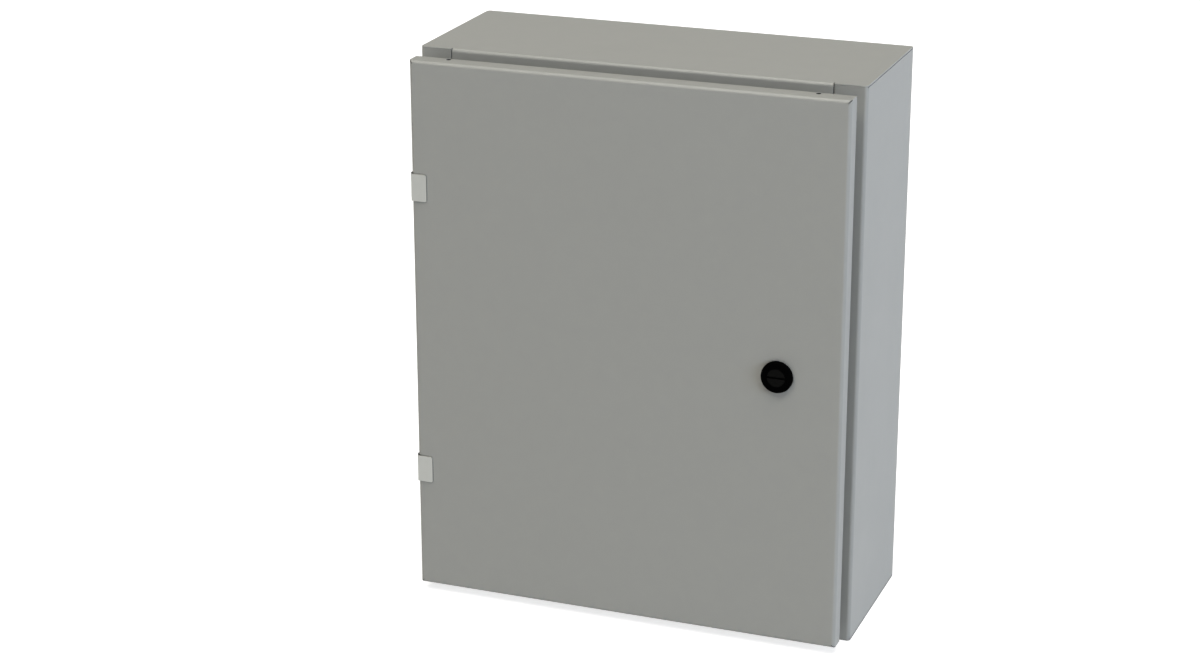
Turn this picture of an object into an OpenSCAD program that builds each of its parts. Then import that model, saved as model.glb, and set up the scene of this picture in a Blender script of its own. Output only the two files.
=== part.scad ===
// Wall-mounted sheet-steel electrical enclosure with a side-hinged door and a quarter-turn latch.
// Millimetres. +X right, +Y towards the wall, +Z up. The origin is the middle of the bottom face.

/* [Body] */
// Width of the body
body_w = 406; // [300:1:600]
// Height of the body
body_h = 508.5; // [380:0.5:800]
// Depth of the body, without the door
body_d = 152; // [110:1:300]
// Thickness of the steel sheet
sheet_t = 1.6; // [1.2:0.1:2]
// Outside radius of the bends in the sheet
bend_r = 3.2; // [2.4:0.1:4]
// Width of the rim round the opening
rim_w = 29; // [27:0.5:36]
// How far the collar stands forward of the rim
collar_h = 22; // [12:0.5:26]
// Open seam where two folds meet
seam_gap = 0.9; // [0.3:0.1:1.2]
// Depth and height of the groove under the edges of the top and bottom plates, along the sides
plate_groove = 0.8; // [0.5:0.1:0.8]
// Relief cut at the end of a bend
bend_relief = 1; // [0.5:0.1:2]

/* [Wall holes] */
// Diameter of the holes in the back
wall_hole_d = 9; // [6:0.5:11]
// Distance of the holes from the sides of the body
wall_hole_side = 18.85; // [14:0.05:26]
// Distance of the holes from the top and the bottom
wall_hole_end = 19.3; // [14:0.1:30]

/* [Door] */
// Inset of the door from each side of the body
door_side = 4.2; // [3:0.1:7]
// Inset of the door from the top of the body
door_top = 4.2; // [2:0.1:8]
// Inset of the door from the bottom of the body
door_bottom = 7.9; // [2:0.1:12]
// Distance from the body's rim to the front of the door
door_front = 35.2; // [33:0.1:45]
// Depth of the flanges round the door
door_flange = 19.35; // [15:0.05:25]
// Width of the return along the back edge of each flange
door_return = 10; // [6:0.5:12]
// Width of the slit along the mitre at each front corner
miter_gap = 0.7; // [0.4:0.1:1.2]
// Diameter of the two holes in the top flange
flange_hole_d = 4.4; // [3:0.1:6]
// Distance of those holes from the sides of the door
flange_hole_side = 32; // [20:0.5:60]
// Distance of those holes behind the front of the door
flange_hole_back = 13.4; // [8:0.1:13.8]

/* [Gasket] */
// Width of the foam strip
gasket_w = 15; // [10:0.5:16]
// Outer corner radius of the foam strip
gasket_corner = 9; // [4:0.5:14]
// Gap between the foam and the edge of the collar
gasket_gap = 0.3; // [0.2:0.1:0.6]

/* [Hinges] */
// Height of one hinge
hinge_h = 24.8; // [20:0.1:40]
// Distance between the middles of the two hinges
hinge_pitch = 267.2; // [180:0.1:400]
// Thickness of the hinge leaves
leaf_t = 1.2; // [1:0.05:1.4]
// How far the door leaf stands out from the side of the door
hinge_over = 0.76; // [0.6:0.02:1]
// Width of the door leaf on the front of the door
leaf_reach = 15.2; // [14.5:0.1:20]
// Corner radius of the leaves
leaf_corner = 1.8; // [1.5:0.1:4]
// Outside radius of the bend in the door leaf
leaf_bend = 2.2; // [1.8:0.1:2.6]
// Distance of the hinge pin behind the front of the door
pin_back = 4.7; // [4.5:0.1:7]
// Diameter of the hinge pin
pin_d = 2; // [1.8:0.1:2.4]
// Height of the heads on the ends of the pin
pin_head_h = 0.8; // [0.5:0.1:1.5]
// Radial running clearance of the pin in the body leaf
pin_clear = 0.05; // [0.02:0.01:0.1]
// Wall of the knuckles round the pin
knuckle_t = 1; // [0.8:0.05:1.2]
// Gap between neighbouring knuckles
knuckle_gap = 0.3; // [0.2:0.05:0.6]
// Distance past its knuckle at which the body leaf is as high as the hinge
leaf_neck = 1; // [1:0.1:2]
// Room round the hinge in the door
hinge_room = 0.4; // [0.3:0.05:0.6]
// Length of the body leaf's foot on the rim
foot_len = 20; // [17:0.5:22]

/* [Hinge fasteners] */
// Diameter of the studs on the leaves
hinge_stud_d = 4; // [3:0.5:4]
// Distance between the two studs of one leaf
hinge_stud_pitch = 12.4; // [10:0.1:16]
// Distance of the door studs from the outside of the leaf
door_stud_reach = 11.2; // [11:0.1:12.5]
// Distance of the body studs from the outside of the leaf
foot_stud_reach = 11.5; // [9:0.1:14]
// Width across flats of the hinge nuts
hinge_nut_af = 7; // [5.5:0.5:7]
// Height of the hinge nuts
hinge_nut_h = 3.2; // [2:0.1:4]
// Radial clearance of a stud in its hole
hole_clear = 0.3; // [0.2:0.05:0.5]
// Radial clearance of a nut on its thread
thread_clear = 0.1; // [0.05:0.01:0.2]
// Thread that shows past a nut
thread_spare = 1.6; // [0.5:0.1:3]

/* [Latch] */
// Distance of the latch from the right side of the door
latch_side = 57.8; // [50:0.1:80]
// Diameter of the latch's front ring
latch_d = 28.4; // [26:0.1:36]
// How far the ring stands out from the door
latch_proud = 5; // [3.5:0.1:8]
// Round on the ring's front edge
latch_edge_r = 2.2; // [0.5:0.1:2.5]
// Diameter of the threaded barrel
barrel_d = 22; // [20:0.5:24]
// Flat to flat width of the barrel
barrel_flats = 20; // [18.5:0.1:20]
// Length of the barrel behind the door sheet
barrel_back = 22; // [14:0.5:24]
// Diameter of the slotted insert
insert_d = 16; // [13:0.1:17]
// Height of the insert's head
insert_head_h = 7; // [5:0.1:10]
// Width of the screwdriver slot
slot_w = 1.9; // [1:0.1:3]
// Depth of the screwdriver slot
slot_depth = 2.2; // [1:0.1:3]
// Diameter of the insert's shaft
shaft_d = 11; // [10:0.1:12]
// Radial clearance of the turning insert
turn_clear = 0.06; // [0.02:0.01:0.1]
// Axial play of the turning insert
end_play = 0.2; // [0.1:0.05:0.4]
// Thickness of the flat seal under the ring
seal_t = 0.6; // [0.4:0.1:1.2]
// How far the ring overhangs the seal
seal_inset = 1; // [0.5:0.1:2]
// Width across flats of the barrel nut
latch_nut_af = 27; // [26:0.5:32]
// Height of the barrel nut
latch_nut_h = 5; // [3:0.1:8]

/* [Cam] */
// Thickness of the cam
cam_t = 3; // [2:0.1:4]
// Width of the cam
cam_w = 18; // [14:0.5:22]
// How far the shut cam reaches behind the rim
cam_overlap = 10; // [6:0.5:14]
// Gap between the shut cam and the rim
cam_gap = 0.6; // [0.4:0.1:1.5]
// Distance of the cam's crank from the latch axis
cam_crank = 17; // [14:0.5:20]
// Side of the square that drives the cam
drive_side = 7; // [6:0.1:7.5]
// Clearance of the cam on the square
drive_clear = 0.1; // [0.05:0.01:0.2]
// Diameter of the cam screw
cam_screw_d = 4; // [3:0.5:4]
// Length of the cam screw in the insert
cam_screw_grip = 10; // [6:0.5:14]
// Width across flats of the cam screw's head
cam_screw_af = 8; // [7:0.5:10]
// Height of the cam screw's head
cam_head_h = 3.5; // [2:0.1:5]
// Diameter of the cam washer
cam_washer_d = 14; // [11:0.5:16]
// Thickness of the cam washer
cam_washer_t = 1.2; // [0.8:0.1:2]

/* [Mounting panel] */
// Margin between the panel and each side of the body
panel_side = 38; // [34:0.5:60]
// Margin between the panel and the top and bottom
panel_end = 38.25; // [34:0.25:60]
// Thickness of the panel
panel_t = 2; // [1.5:0.1:3]
// Corner radius of the panel
panel_corner = 6; // [2:0.5:9]
// Distance of the panel from the back
panel_stand = 12; // [8:0.5:25]
// Distance of the panel's holes from its edges
panel_hole_edge = 12; // [10:0.5:20]
// Diameter of the panel studs
panel_stud_d = 8; // [6:0.5:8]
// Diameter of the shoulder that the panel sits on
panel_seat_d = 14; // [12:0.5:18]
// Width across flats of the panel nuts
panel_nut_af = 13; // [12:0.5:14]
// Height of the panel nuts
panel_nut_h = 6.5; // [4:0.1:8]
// Diameter of the panel washers
panel_washer_d = 16; // [14:0.5:19]
// Thickness of the panel washers
panel_washer_t = 1.6; // [1:0.1:2.5]
// Thread that shows past a panel nut
panel_spare = 4; // [2:0.5:10]

/* [Ground studs] */
// Diameter of a ground stud
ground_stud_d = 6; // [5:0.5:6]
// Width across flats of a ground nut
ground_nut_af = 10; // [8:0.5:12]
// Height of a ground nut
ground_nut_h = 5; // [3:0.1:6]
// Diameter of a ground washer
ground_washer_d = 12; // [10:0.5:14]
// Thickness of a ground washer
ground_washer_t = 1.6; // [1:0.1:2]
// Thread that shows past a ground nut
ground_spare = 7; // [3:0.5:9]
// Height of both ground studs above the bottom of the body
ground_up = 70; // [50:1:120]
// Distance of the body's ground stud from the back
ground_back = 70; // [40:1:90]
// Distance of the door's ground stud from the left side of the door
ground_side = 60; // [45:1:100]

/* [Hidden] */
$fn = 64;
// Overlap of a cutting solid past the face that it cuts
cut_over = 1;
// Overlap of two pieces of sheet that are one piece
sheet_lap = 1;
// Width across corners of a hexagon over its width across flats
hex_ratio = 1 / cos(30);
body_grey = "#92928d";
zinc_grey = "#b4b6b1";
panel_white = "#e9e9e4";
black = "#1a1a1a";
foam_grey = "#3a3b3d";
copper = "#b9774c";

half_w = body_w / 2;
front_y = -body_d / 2;
back_y = body_d / 2;
inner_back_y = back_y - sheet_t;
open_x = half_w - rim_w;
rim_flat = rim_w - 2 * bend_r;
// The side collars run past the end collars by one sheet, so the corners close
collar_z0 = rim_w - sheet_t;
collar_z1 = body_h - rim_w + sheet_t;
wall_hole_x = half_w - wall_hole_side;
wall_hole_z = [wall_hole_end, body_h - wall_hole_end];

door_w = body_w - 2 * door_side;
door_h = body_h - door_top - door_bottom;
door_mid_z = door_bottom + door_h / 2;
door_y0 = front_y - door_front;
door_y1 = door_y0 + door_flange;
door_inner_y = door_y0 + sheet_t;

gasket_t = door_front - sheet_t - collar_h - gasket_gap;
gasket_out_w = 2 * open_x + sheet_t + gasket_w;
gasket_out_h = body_h - 2 * rim_w + sheet_t + gasket_w;

pin_r = pin_d / 2;
knuckle_r = pin_r + knuckle_t;
knuckle_span = hinge_h - 2 * pin_head_h;
knuckle_h = (knuckle_span - 2 * knuckle_gap) / 3;
leg_start = knuckle_r + leaf_neck;
hinge_x = leaf_t / 2 - door_w / 2 - hinge_over;
hinge_y = door_y0 + pin_back;
upper_hinge_z = door_mid_z + hinge_pitch / 2;
lower_hinge_z = door_mid_z - hinge_pitch / 2;
leg_len = front_y - hinge_y;
hinge_stud_len = leaf_t + sheet_t + hinge_nut_h + thread_spare;
door_stud_x = hinge_x - leaf_t / 2 + door_stud_reach;
foot_stud_x = hinge_x - knuckle_r + foot_stud_reach;

latch_x = door_w / 2 - latch_side;
barrel_end = sheet_t + barrel_back;
cam_top = barrel_end + end_play;
cam_low = door_front + sheet_t + cam_gap;
cam_reach = open_x - latch_x + cam_overlap;
insert_r = insert_d / 2;
shaft_r = shaft_d / 2;
head_seat = latch_proud - insert_head_h;

panel_w = body_w - 2 * panel_side;
panel_h = body_h - 2 * panel_end;
panel_back_y = inner_back_y - panel_stand;
panel_front_y = panel_back_y - panel_t;
panel_hole_x = panel_w / 2 - panel_hole_edge;
panel_hole_z = panel_h / 2 - panel_hole_edge;
panel_stud_len = panel_stand + panel_t + panel_washer_t + panel_nut_h + panel_spare;
ground_len = ground_washer_t + ground_nut_h + ground_spare;

// Quarter bend about the origin, from the right to the top, with a short flat on each end
module quarter_bend_2d(r, t, lap) {
    intersection() {
        difference() {
            circle(r = r);
            circle(r = r - t);
        }
        square(r);
    }
    translate([r - t, -lap])
        square([t, lap]);
    translate([-lap, r - t])
        square([lap, t]);
}

// Bend of the steel sheet, in the quadrant that the signs of sx and sy give
module bend_2d(sx, sy) {
    mirror([sx < 0 ? 1 : 0, 0])
        mirror([0, sy < 0 ? 1 : 0])
            quarter_bend_2d(bend_r, sheet_t, sheet_lap);
}

// Rectangle with round corners about the origin
module round_rect_2d(w, h, r) {
    square([w - 2 * r, h], center = true);
    square([w, h - 2 * r], center = true);
    for (sx = [-1, 1], sy = [-1, 1])
        translate([sx * (w / 2 - r), sy * (h / 2 - r)])
            circle(r = r);
}

// Tab that starts at the origin and has round corners at its far end
module tab_2d(reach, height, r) {
    translate([0, -height / 2])
        square([reach - r, height]);
    translate([0, r - height / 2])
        square([reach, height - 2 * r]);
    for (s = [-1, 1])
        translate([reach - r, s * (height / 2 - r)])
            circle(r = r);
}

// Hexagon nut that stands on the origin along Z
module nut(af, height, thread_d) {
    difference() {
        cylinder(h = height, d = af * hex_ratio, $fn = 6);
        translate([0, 0, -cut_over])
            cylinder(h = height + 2 * cut_over, r = thread_d / 2 + thread_clear);
    }
}

// Flat washer that stands on the origin along Z
module washer(d, height, thread_d) {
    difference() {
        cylinder(h = height, d = d);
        translate([0, 0, -cut_over])
            cylinder(h = height + 2 * cut_over, r = thread_d / 2 + hole_clear);
    }
}

// Washer of a ground stud, on the face that carries the stud
module ground_washer() {
    washer(ground_washer_d, ground_washer_t, ground_stud_d);
}

// Nut of a ground stud, on its washer
module ground_nut() {
    translate([0, 0, ground_washer_t])
        nut(ground_nut_af, ground_nut_h, ground_stud_d);
}

// Places that carry a child along Z
module at_body_ground() {
    translate([sheet_t - half_w, back_y - ground_back, ground_up])
        rotate([0, 90, 0])
            children();
}

module at_door_ground() {
    translate([ground_side - door_w / 2, door_inner_y, ground_up])
        rotate([-90, 0, 0])
            children();
}

module at_panel_holes(y) {
    for (sx = [-1, 1], sz = [-1, 1])
        translate([sx * panel_hole_x, y, body_h / 2 + sz * panel_hole_z])
            rotate([90, 0, 0])
                children();
}

// Latch frame: Z points out of the door's front, Y points up
module at_latch() {
    translate([latch_x, door_y0, door_mid_z])
        rotate([90, 0, 0])
            children();
}

// Hinge frame: the pin's axis, with the hinge's middle at the origin
module at_hinge(z) {
    translate([hinge_x, hinge_y, z])
        children();
}

module at_hinge_studs(x, y) {
    for (z = [upper_hinge_z, lower_hinge_z], s = [-1, 1])
        translate([x, y, z + s * hinge_stud_pitch / 2])
            rotate([-90, 0, 0])
                children();
}

// Half of the wrap's section: back, side and front rim, to the right of the middle
module wrap_half_2d() {
    translate([0, inner_back_y])
        square([half_w - bend_r, sheet_t]);
    translate([half_w - bend_r, back_y - bend_r])
        bend_2d(1, 1);
    translate([half_w - sheet_t, front_y + bend_r])
        square([sheet_t, body_d - 2 * bend_r]);
    translate([half_w - bend_r, front_y + bend_r])
        bend_2d(1, -1);
    translate([open_x + bend_r, front_y])
        square([rim_flat, sheet_t]);
}

// Section of the collar on the right side of the opening
module side_collar_2d() {
    translate([open_x + bend_r, front_y + sheet_t - bend_r])
        bend_2d(-1, 1);
    translate([open_x, front_y - collar_h])
        square([sheet_t, collar_h + sheet_t - bend_r]);
}

// Flat corner of the rim beyond the end of the collar's bend
module rim_corner() {
    translate([open_x, front_y, sheet_t])
        cube([bend_r + sheet_lap, sheet_t, collar_z0 - bend_relief - sheet_t]);
}

module wrap_side() {
    translate([0, 0, sheet_t])
        linear_extrude(height = body_h - 2 * sheet_t)
            wrap_half_2d();
    translate([0, 0, collar_z0])
        linear_extrude(height = collar_z1 - collar_z0)
            side_collar_2d();
    rim_corner();
    translate([0, 0, body_h])
        mirror([0, 0, 1])
            rim_corner();
}

module body_wrap() {
    color(body_grey)
        difference() {
            union() {
                wrap_side();
                mirror([1, 0, 0])
                    wrap_side();
            }
            for (x = [-wall_hole_x, wall_hole_x], z = wall_hole_z)
                translate([x, back_y + cut_over, z])
                    rotate([90, 0, 0])
                        cylinder(h = sheet_t + 2 * cut_over, d = wall_hole_d);
            at_hinge_studs(foot_stud_x, front_y - cut_over)
                cylinder(h = sheet_t + 2 * cut_over, r = hinge_stud_d / 2 + hole_clear);
        }
}

// Section of the top cap's rim and collar, drawn in the YZ plane
module cap_rim_2d() {
    translate([front_y + bend_r, body_h - bend_r])
        bend_2d(-1, 1);
    translate([front_y, body_h - rim_w + bend_r])
        square([sheet_t, rim_flat]);
    translate([front_y + sheet_t - bend_r, body_h - rim_w + bend_r])
        bend_2d(1, -1);
    translate([front_y - collar_h, body_h - rim_w])
        square([collar_h + sheet_t - bend_r, sheet_t]);
}

// Outline of a cap's plate, which follows the wrap and stops at the front bend
module cap_plate_2d() {
    difference() {
        round_rect_2d(body_w, body_d, bend_r);
        translate([-open_x, front_y - cut_over])
            square([2 * open_x, bend_r + cut_over]);
    }
}

// Plate of the top cap, with a groove under its edge along each side
module cap_plate() {
    difference() {
        translate([0, 0, body_h - sheet_t])
            linear_extrude(height = sheet_t)
                cap_plate_2d();
        for (m = [0, 1])
            mirror([m, 0, 0])
                translate([half_w - plate_groove, front_y - cut_over, body_h - sheet_t - cut_over])
                    cube([plate_groove + cut_over, body_d + 2 * cut_over, plate_groove + cut_over]);
    }
}

module cap() {
    rim_half = open_x - seam_gap;
    cap_plate();
    translate([-rim_half, 0, 0])
        rotate([90, 0, 90])
            linear_extrude(height = 2 * rim_half)
                cap_rim_2d();
}

module top_cap() {
    color(body_grey)
        cap();
}

module bottom_cap() {
    color(body_grey)
        translate([0, 0, body_h])
            mirror([0, 0, 1])
                cap();
}

// Section of one edge of the door: front bend, flange, back bend and return, at a distance from the middle
module door_edge_2d(edge) {
    translate([edge - bend_r, door_y0 + bend_r])
        bend_2d(1, -1);
    translate([edge - sheet_t, door_y0 + bend_r])
        square([sheet_t, door_flange - 2 * bend_r]);
    translate([edge - bend_r, door_y1 - bend_r])
        bend_2d(1, 1);
    translate([edge - door_return, door_y1 - sheet_t])
        square([door_return - bend_r, sheet_t]);
}

module door_side_edge() {
    length = door_h - 2 * bend_r;
    translate([0, 0, -length / 2])
        linear_extrude(height = length)
            door_edge_2d(door_w / 2);
}

module door_end_edge() {
    length = door_w - 2 * bend_r;
    translate([length / 2, 0, 0])
        rotate([0, -90, 0])
            linear_extrude(height = length)
                door_edge_2d(door_h / 2);
}

// Welded corner where two flanges meet, between their bends
module door_corner() {
    depth = door_flange - 2 * bend_r;
    reach = bend_r + sheet_lap;
    translate([door_w / 2 - reach, door_y0 + bend_r, door_h / 2 - sheet_t])
        cube([reach, depth, sheet_t]);
    translate([door_w / 2 - sheet_t, door_y0 + bend_r, door_h / 2 - reach])
        cube([sheet_t, depth, reach]);
}

// Front bend of the right flange, run on to the door's corner at the origin and mitred there
module corner_bend() {
    lap = bend_r + sheet_lap;
    reach = 2 * lap;
    difference() {
        translate([0, 0, -lap])
            linear_extrude(height = lap)
                translate([-bend_r, bend_r])
                    bend_2d(1, -1);
        rotate([0, -45, 0])
            translate([-reach, -cut_over, -miter_gap / 2])
                cube([2 * reach, lap + 2 * cut_over, reach]);
    }
}

// Both front bends at one corner, with the open slit between them
module door_miter() {
    translate([door_w / 2, door_y0, door_h / 2]) {
        corner_bend();
        mirror([1, 0, -1])
            corner_bend();
    }
}

module door_pan() {
    translate([bend_r - door_w / 2, door_y0, bend_r - door_h / 2])
        cube([door_w - 2 * bend_r, sheet_t, door_h - 2 * bend_r]);
    for (m = [0, 1])
        mirror([m, 0, 0])
            door_side_edge();
    for (m = [0, 1])
        mirror([0, 0, m])
            door_end_edge();
    for (mx = [0, 1], mz = [0, 1])
        mirror([mx, 0, 0])
            mirror([0, 0, mz]) {
                door_corner();
                door_miter();
            }
}

// Cuts in the door for one hinge: a notch in the edge round the knuckles, and the holes for the studs
module hinge_cuts() {
    side = -knuckle_r - cut_over;
    front = -pin_back - cut_over;
    past = knuckle_r + hinge_room;
    height = hinge_h + 2 * hinge_room;
    translate([side, front, -height / 2])
        cube([past - side, past - front, height]);
    for (s = [-1, 1])
        translate([door_stud_reach - leaf_t / 2, front, s * hinge_stud_pitch / 2])
            rotate([-90, 0, 0])
                cylinder(h = sheet_t + 2 * cut_over, r = hinge_stud_d / 2 + hole_clear);
}

// Barrel section: a circle with two flats
module barrel_2d(clear) {
    intersection() {
        circle(r = barrel_d / 2 + clear);
        square([barrel_flats + 2 * clear, barrel_d + 2 * clear + cut_over], center = true);
    }
}

module door_panel() {
    color(body_grey)
        difference() {
            translate([0, 0, door_mid_z])
                door_pan();
            for (z = [upper_hinge_z, lower_hinge_z])
                at_hinge(z)
                    hinge_cuts();
            at_latch()
                translate([0, 0, -sheet_t - cut_over])
                    linear_extrude(height = sheet_t + 2 * cut_over)
                        barrel_2d(hole_clear);
            for (s = [-1, 1])
                translate([s * (door_w / 2 - flange_hole_side), door_y0 + flange_hole_back,
                           body_h - door_top - sheet_t - cut_over])
                    cylinder(h = sheet_t + 2 * cut_over, d = flange_hole_d);
        }
}

module door_gasket() {
    color(foam_grey)
        translate([0, door_inner_y + gasket_t, body_h / 2])
            rotate([90, 0, 0])
                linear_extrude(height = gasket_t)
                    difference() {
                        round_rect_2d(gasket_out_w, gasket_out_h, gasket_corner);
                        square([gasket_out_w - 2 * gasket_w, gasket_out_h - 2 * gasket_w], center = true);
                    }
}

// Stud pair of one hinge leaf, from the leaf's outer face towards the back
module hinge_studs(x, y) {
    for (s = [-1, 1])
        translate([x, y, s * hinge_stud_pitch / 2])
            rotate([-90, 0, 0])
                cylinder(h = hinge_stud_len, d = hinge_stud_d);
}

// Leaf that is fastened to the body: middle knuckle, leg beside the door and foot on the rim
module body_leaf(z) {
    color(zinc_grey)
        at_hinge(z)
            difference() {
                union() {
                    body_leaf_sheet();
                    hinge_studs(foot_stud_reach - knuckle_r, leg_len - leaf_t);
                }
                translate([0, 0, -hinge_h])
                    cylinder(h = 2 * hinge_h, r = pin_r + pin_clear);
            }
}

module body_leaf_sheet() {
    translate([0, 0, -knuckle_h / 2])
        cylinder(h = knuckle_h, r = knuckle_r);
    translate([-knuckle_r, 0, -knuckle_h / 2])
        cube([leaf_t, leg_len - leaf_corner, knuckle_h]);
    translate([-knuckle_r, leg_start, -hinge_h / 2])
        cube([leaf_t, leg_len - leaf_corner - leg_start, hinge_h]);
    translate([leaf_corner - knuckle_r, leg_len - leaf_corner, -hinge_h / 2])
        linear_extrude(height = hinge_h)
            mirror([1, 0])
                quarter_bend_2d(leaf_corner, leaf_t, sheet_lap);
    translate([leaf_corner - knuckle_r, leg_len, 0])
        rotate([90, 0, 0])
            linear_extrude(height = leaf_t)
                tab_2d(foot_len - leaf_corner, hinge_h, leaf_corner);
}

// Leaf that is fastened to the door's front: plate, bend round the door's edge, and end knuckles behind it
module door_leaf(z) {
    bend_end = leaf_bend - leaf_t - pin_back;
    color(zinc_grey)
        at_hinge(z)
            difference() {
                union() {
                    door_leaf_sheet(bend_end);
                    hinge_studs(door_stud_reach - leaf_t / 2, -pin_back - leaf_t);
                }
                translate([0, 0, -hinge_h])
                    cylinder(h = 2 * hinge_h, r = pin_r);
                translate([-2 * knuckle_r, bend_end, -knuckle_h / 2 - knuckle_gap])
                    cube([4 * knuckle_r, 2 * knuckle_r - bend_end, knuckle_h + 2 * knuckle_gap]);
            }
}

module door_leaf_sheet(bend_end) {
    plate_x = leaf_bend - leaf_t / 2;
    translate([plate_x, -pin_back, 0])
        rotate([90, 0, 0])
            linear_extrude(height = leaf_t)
                tab_2d(leaf_reach - leaf_bend, hinge_h, leaf_corner);
    translate([plate_x, bend_end, -hinge_h / 2])
        linear_extrude(height = hinge_h)
            rotate(180)
                quarter_bend_2d(leaf_bend, leaf_t, sheet_lap);
    translate([-leaf_t / 2, bend_end, -knuckle_span / 2])
        cube([leaf_t, -bend_end, knuckle_span]);
    translate([0, 0, -knuckle_span / 2])
        cylinder(h = knuckle_span, r = knuckle_r);
}

// Pin with a low round head on each end
module hinge_pin(z) {
    color(black)
        at_hinge(z)
            translate([0, 0, -hinge_h / 2]) {
                cylinder(h = hinge_h, r = pin_r);
                for (end = [0, hinge_h - pin_head_h])
                    translate([0, 0, end])
                        cylinder(h = pin_head_h, r = knuckle_r);
            }
}

module upper_hinge_body_leaf() {
    body_leaf(upper_hinge_z);
}

module lower_hinge_body_leaf() {
    body_leaf(lower_hinge_z);
}

module upper_hinge_door_leaf() {
    door_leaf(upper_hinge_z);
}

module lower_hinge_door_leaf() {
    door_leaf(lower_hinge_z);
}

module upper_hinge_pin() {
    hinge_pin(upper_hinge_z);
}

module lower_hinge_pin() {
    hinge_pin(lower_hinge_z);
}

module hinge_door_nuts() {
    color(zinc_grey)
        at_hinge_studs(door_stud_x, door_inner_y)
            nut(hinge_nut_af, hinge_nut_h, hinge_stud_d);
}

module hinge_body_nuts() {
    color(zinc_grey)
        at_hinge_studs(foot_stud_x, front_y + sheet_t)
            nut(hinge_nut_af, hinge_nut_h, hinge_stud_d);
}

// Section of the ring with its rounded front edge, from the axis outwards
module latch_ring_2d() {
    edge_x = latch_d / 2 - latch_edge_r;
    square([edge_x, latch_proud - seal_t]);
    square([latch_d / 2, latch_proud - seal_t - latch_edge_r]);
    translate([edge_x, latch_proud - seal_t - latch_edge_r])
        intersection() {
            circle(r = latch_edge_r);
            square(latch_edge_r);
        }
}

module latch_housing() {
    color(black)
        at_latch()
            difference() {
                union() {
                    translate([0, 0, seal_t])
                        rotate_extrude()
                            latch_ring_2d();
                    translate([0, 0, -barrel_end])
                        linear_extrude(height = barrel_end + seal_t)
                            barrel_2d(0);
                }
                translate([0, 0, head_seat])
                    cylinder(h = insert_head_h + cut_over, r = insert_r + turn_clear);
                translate([0, 0, -barrel_end - cut_over])
                    cylinder(h = barrel_end + latch_proud, r = shaft_r + turn_clear);
            }
}

module latch_seal() {
    color(foam_grey)
        at_latch()
            linear_extrude(height = seal_t)
                difference() {
                    circle(r = latch_d / 2 - seal_inset);
                    barrel_2d(hole_clear);
                }
}

module latch_nut() {
    color(zinc_grey)
        at_latch()
            translate([0, 0, -sheet_t - latch_nut_h])
                nut(latch_nut_af, latch_nut_h, barrel_d);
}

// Insert with its slot level, as it stands when the door is free to open
module latch_insert() {
    shaft_len = head_seat + end_play + cam_top;
    color(black)
        at_latch()
            difference() {
                union() {
                    translate([0, 0, head_seat + end_play])
                        cylinder(h = insert_head_h - end_play, r = insert_r);
                    translate([0, 0, -cam_top])
                        cylinder(h = shaft_len, r = shaft_r);
                    translate([-drive_side / 2, -drive_side / 2, -cam_top - cam_t])
                        cube([drive_side, drive_side, cam_t]);
                }
                translate([-insert_d, -slot_w / 2, latch_proud - slot_depth])
                    cube([2 * insert_d, slot_w, slot_depth + cut_over]);
                translate([0, 0, -cam_top - cam_t - cut_over])
                    cylinder(h = cam_screw_grip + cut_over, r = cam_screw_d / 2 + thread_clear);
            }
}

// Cranked cam: hub on the square, crank, and an arm that turns behind the rim
module latch_cam() {
    arm_mid = cam_reach - cam_w / 2;
    crank_h = cam_low + cam_t - cam_top;
    color(zinc_grey)
        at_latch()
            difference() {
                union() {
                    translate([0, 0, -cam_top - cam_t]) {
                        cylinder(h = cam_t, d = cam_w);
                        translate([-cam_w / 2, 0, 0])
                            cube([cam_w, cam_crank, cam_t]);
                    }
                    translate([-cam_w / 2, cam_crank - cam_t, -cam_low - cam_t])
                        cube([cam_w, cam_t, crank_h]);
                    translate([0, 0, -cam_low - cam_t]) {
                        translate([-cam_w / 2, cam_crank - cam_t, 0])
                            cube([cam_w, arm_mid - cam_crank + cam_t, cam_t]);
                        translate([0, arm_mid, 0])
                            cylinder(h = cam_t, d = cam_w);
                    }
                }
                translate([0, 0, -cam_top - cam_t - cut_over])
                    linear_extrude(height = cam_t + 2 * cut_over)
                        square(drive_side + 2 * drive_clear, center = true);
            }
}

module latch_cam_washer() {
    color(zinc_grey)
        at_latch()
            translate([0, 0, -cam_top - cam_t - cam_washer_t])
                washer(cam_washer_d, cam_washer_t, cam_screw_d);
}

module latch_cam_screw() {
    shank = cam_washer_t + cam_screw_grip - thread_spare;
    color(zinc_grey)
        at_latch()
            translate([0, 0, -cam_top - cam_t - cam_washer_t]) {
                cylinder(h = shank, d = cam_screw_d);
                translate([0, 0, -cam_head_h])
                    cylinder(h = cam_head_h, d = cam_screw_af * hex_ratio, $fn = 6);
            }
}

module mounting_panel() {
    color(panel_white)
        difference() {
            translate([0, panel_back_y, body_h / 2])
                rotate([90, 0, 0])
                    linear_extrude(height = panel_t)
                        round_rect_2d(panel_w, panel_h, panel_corner);
            at_panel_holes(panel_back_y + cut_over)
                cylinder(h = panel_t + 2 * cut_over, r = panel_stud_d / 2 + hole_clear);
        }
}

module panel_studs() {
    color(copper)
        at_panel_holes(inner_back_y) {
            cylinder(h = panel_stand, d = panel_seat_d);
            cylinder(h = panel_stud_len, d = panel_stud_d);
        }
}

module panel_washers() {
    color(zinc_grey)
        at_panel_holes(panel_front_y)
            washer(panel_washer_d, panel_washer_t, panel_stud_d);
}

module panel_nuts() {
    color(zinc_grey)
        at_panel_holes(panel_front_y - panel_washer_t)
            nut(panel_nut_af, panel_nut_h, panel_stud_d);
}

module body_ground_stud() {
    color(copper)
        at_body_ground()
            cylinder(h = ground_len, d = ground_stud_d);
}

module body_ground_washer() {
    color(zinc_grey)
        at_body_ground()
            ground_washer();
}

module body_ground_nut() {
    color(zinc_grey)
        at_body_ground()
            ground_nut();
}

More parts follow.
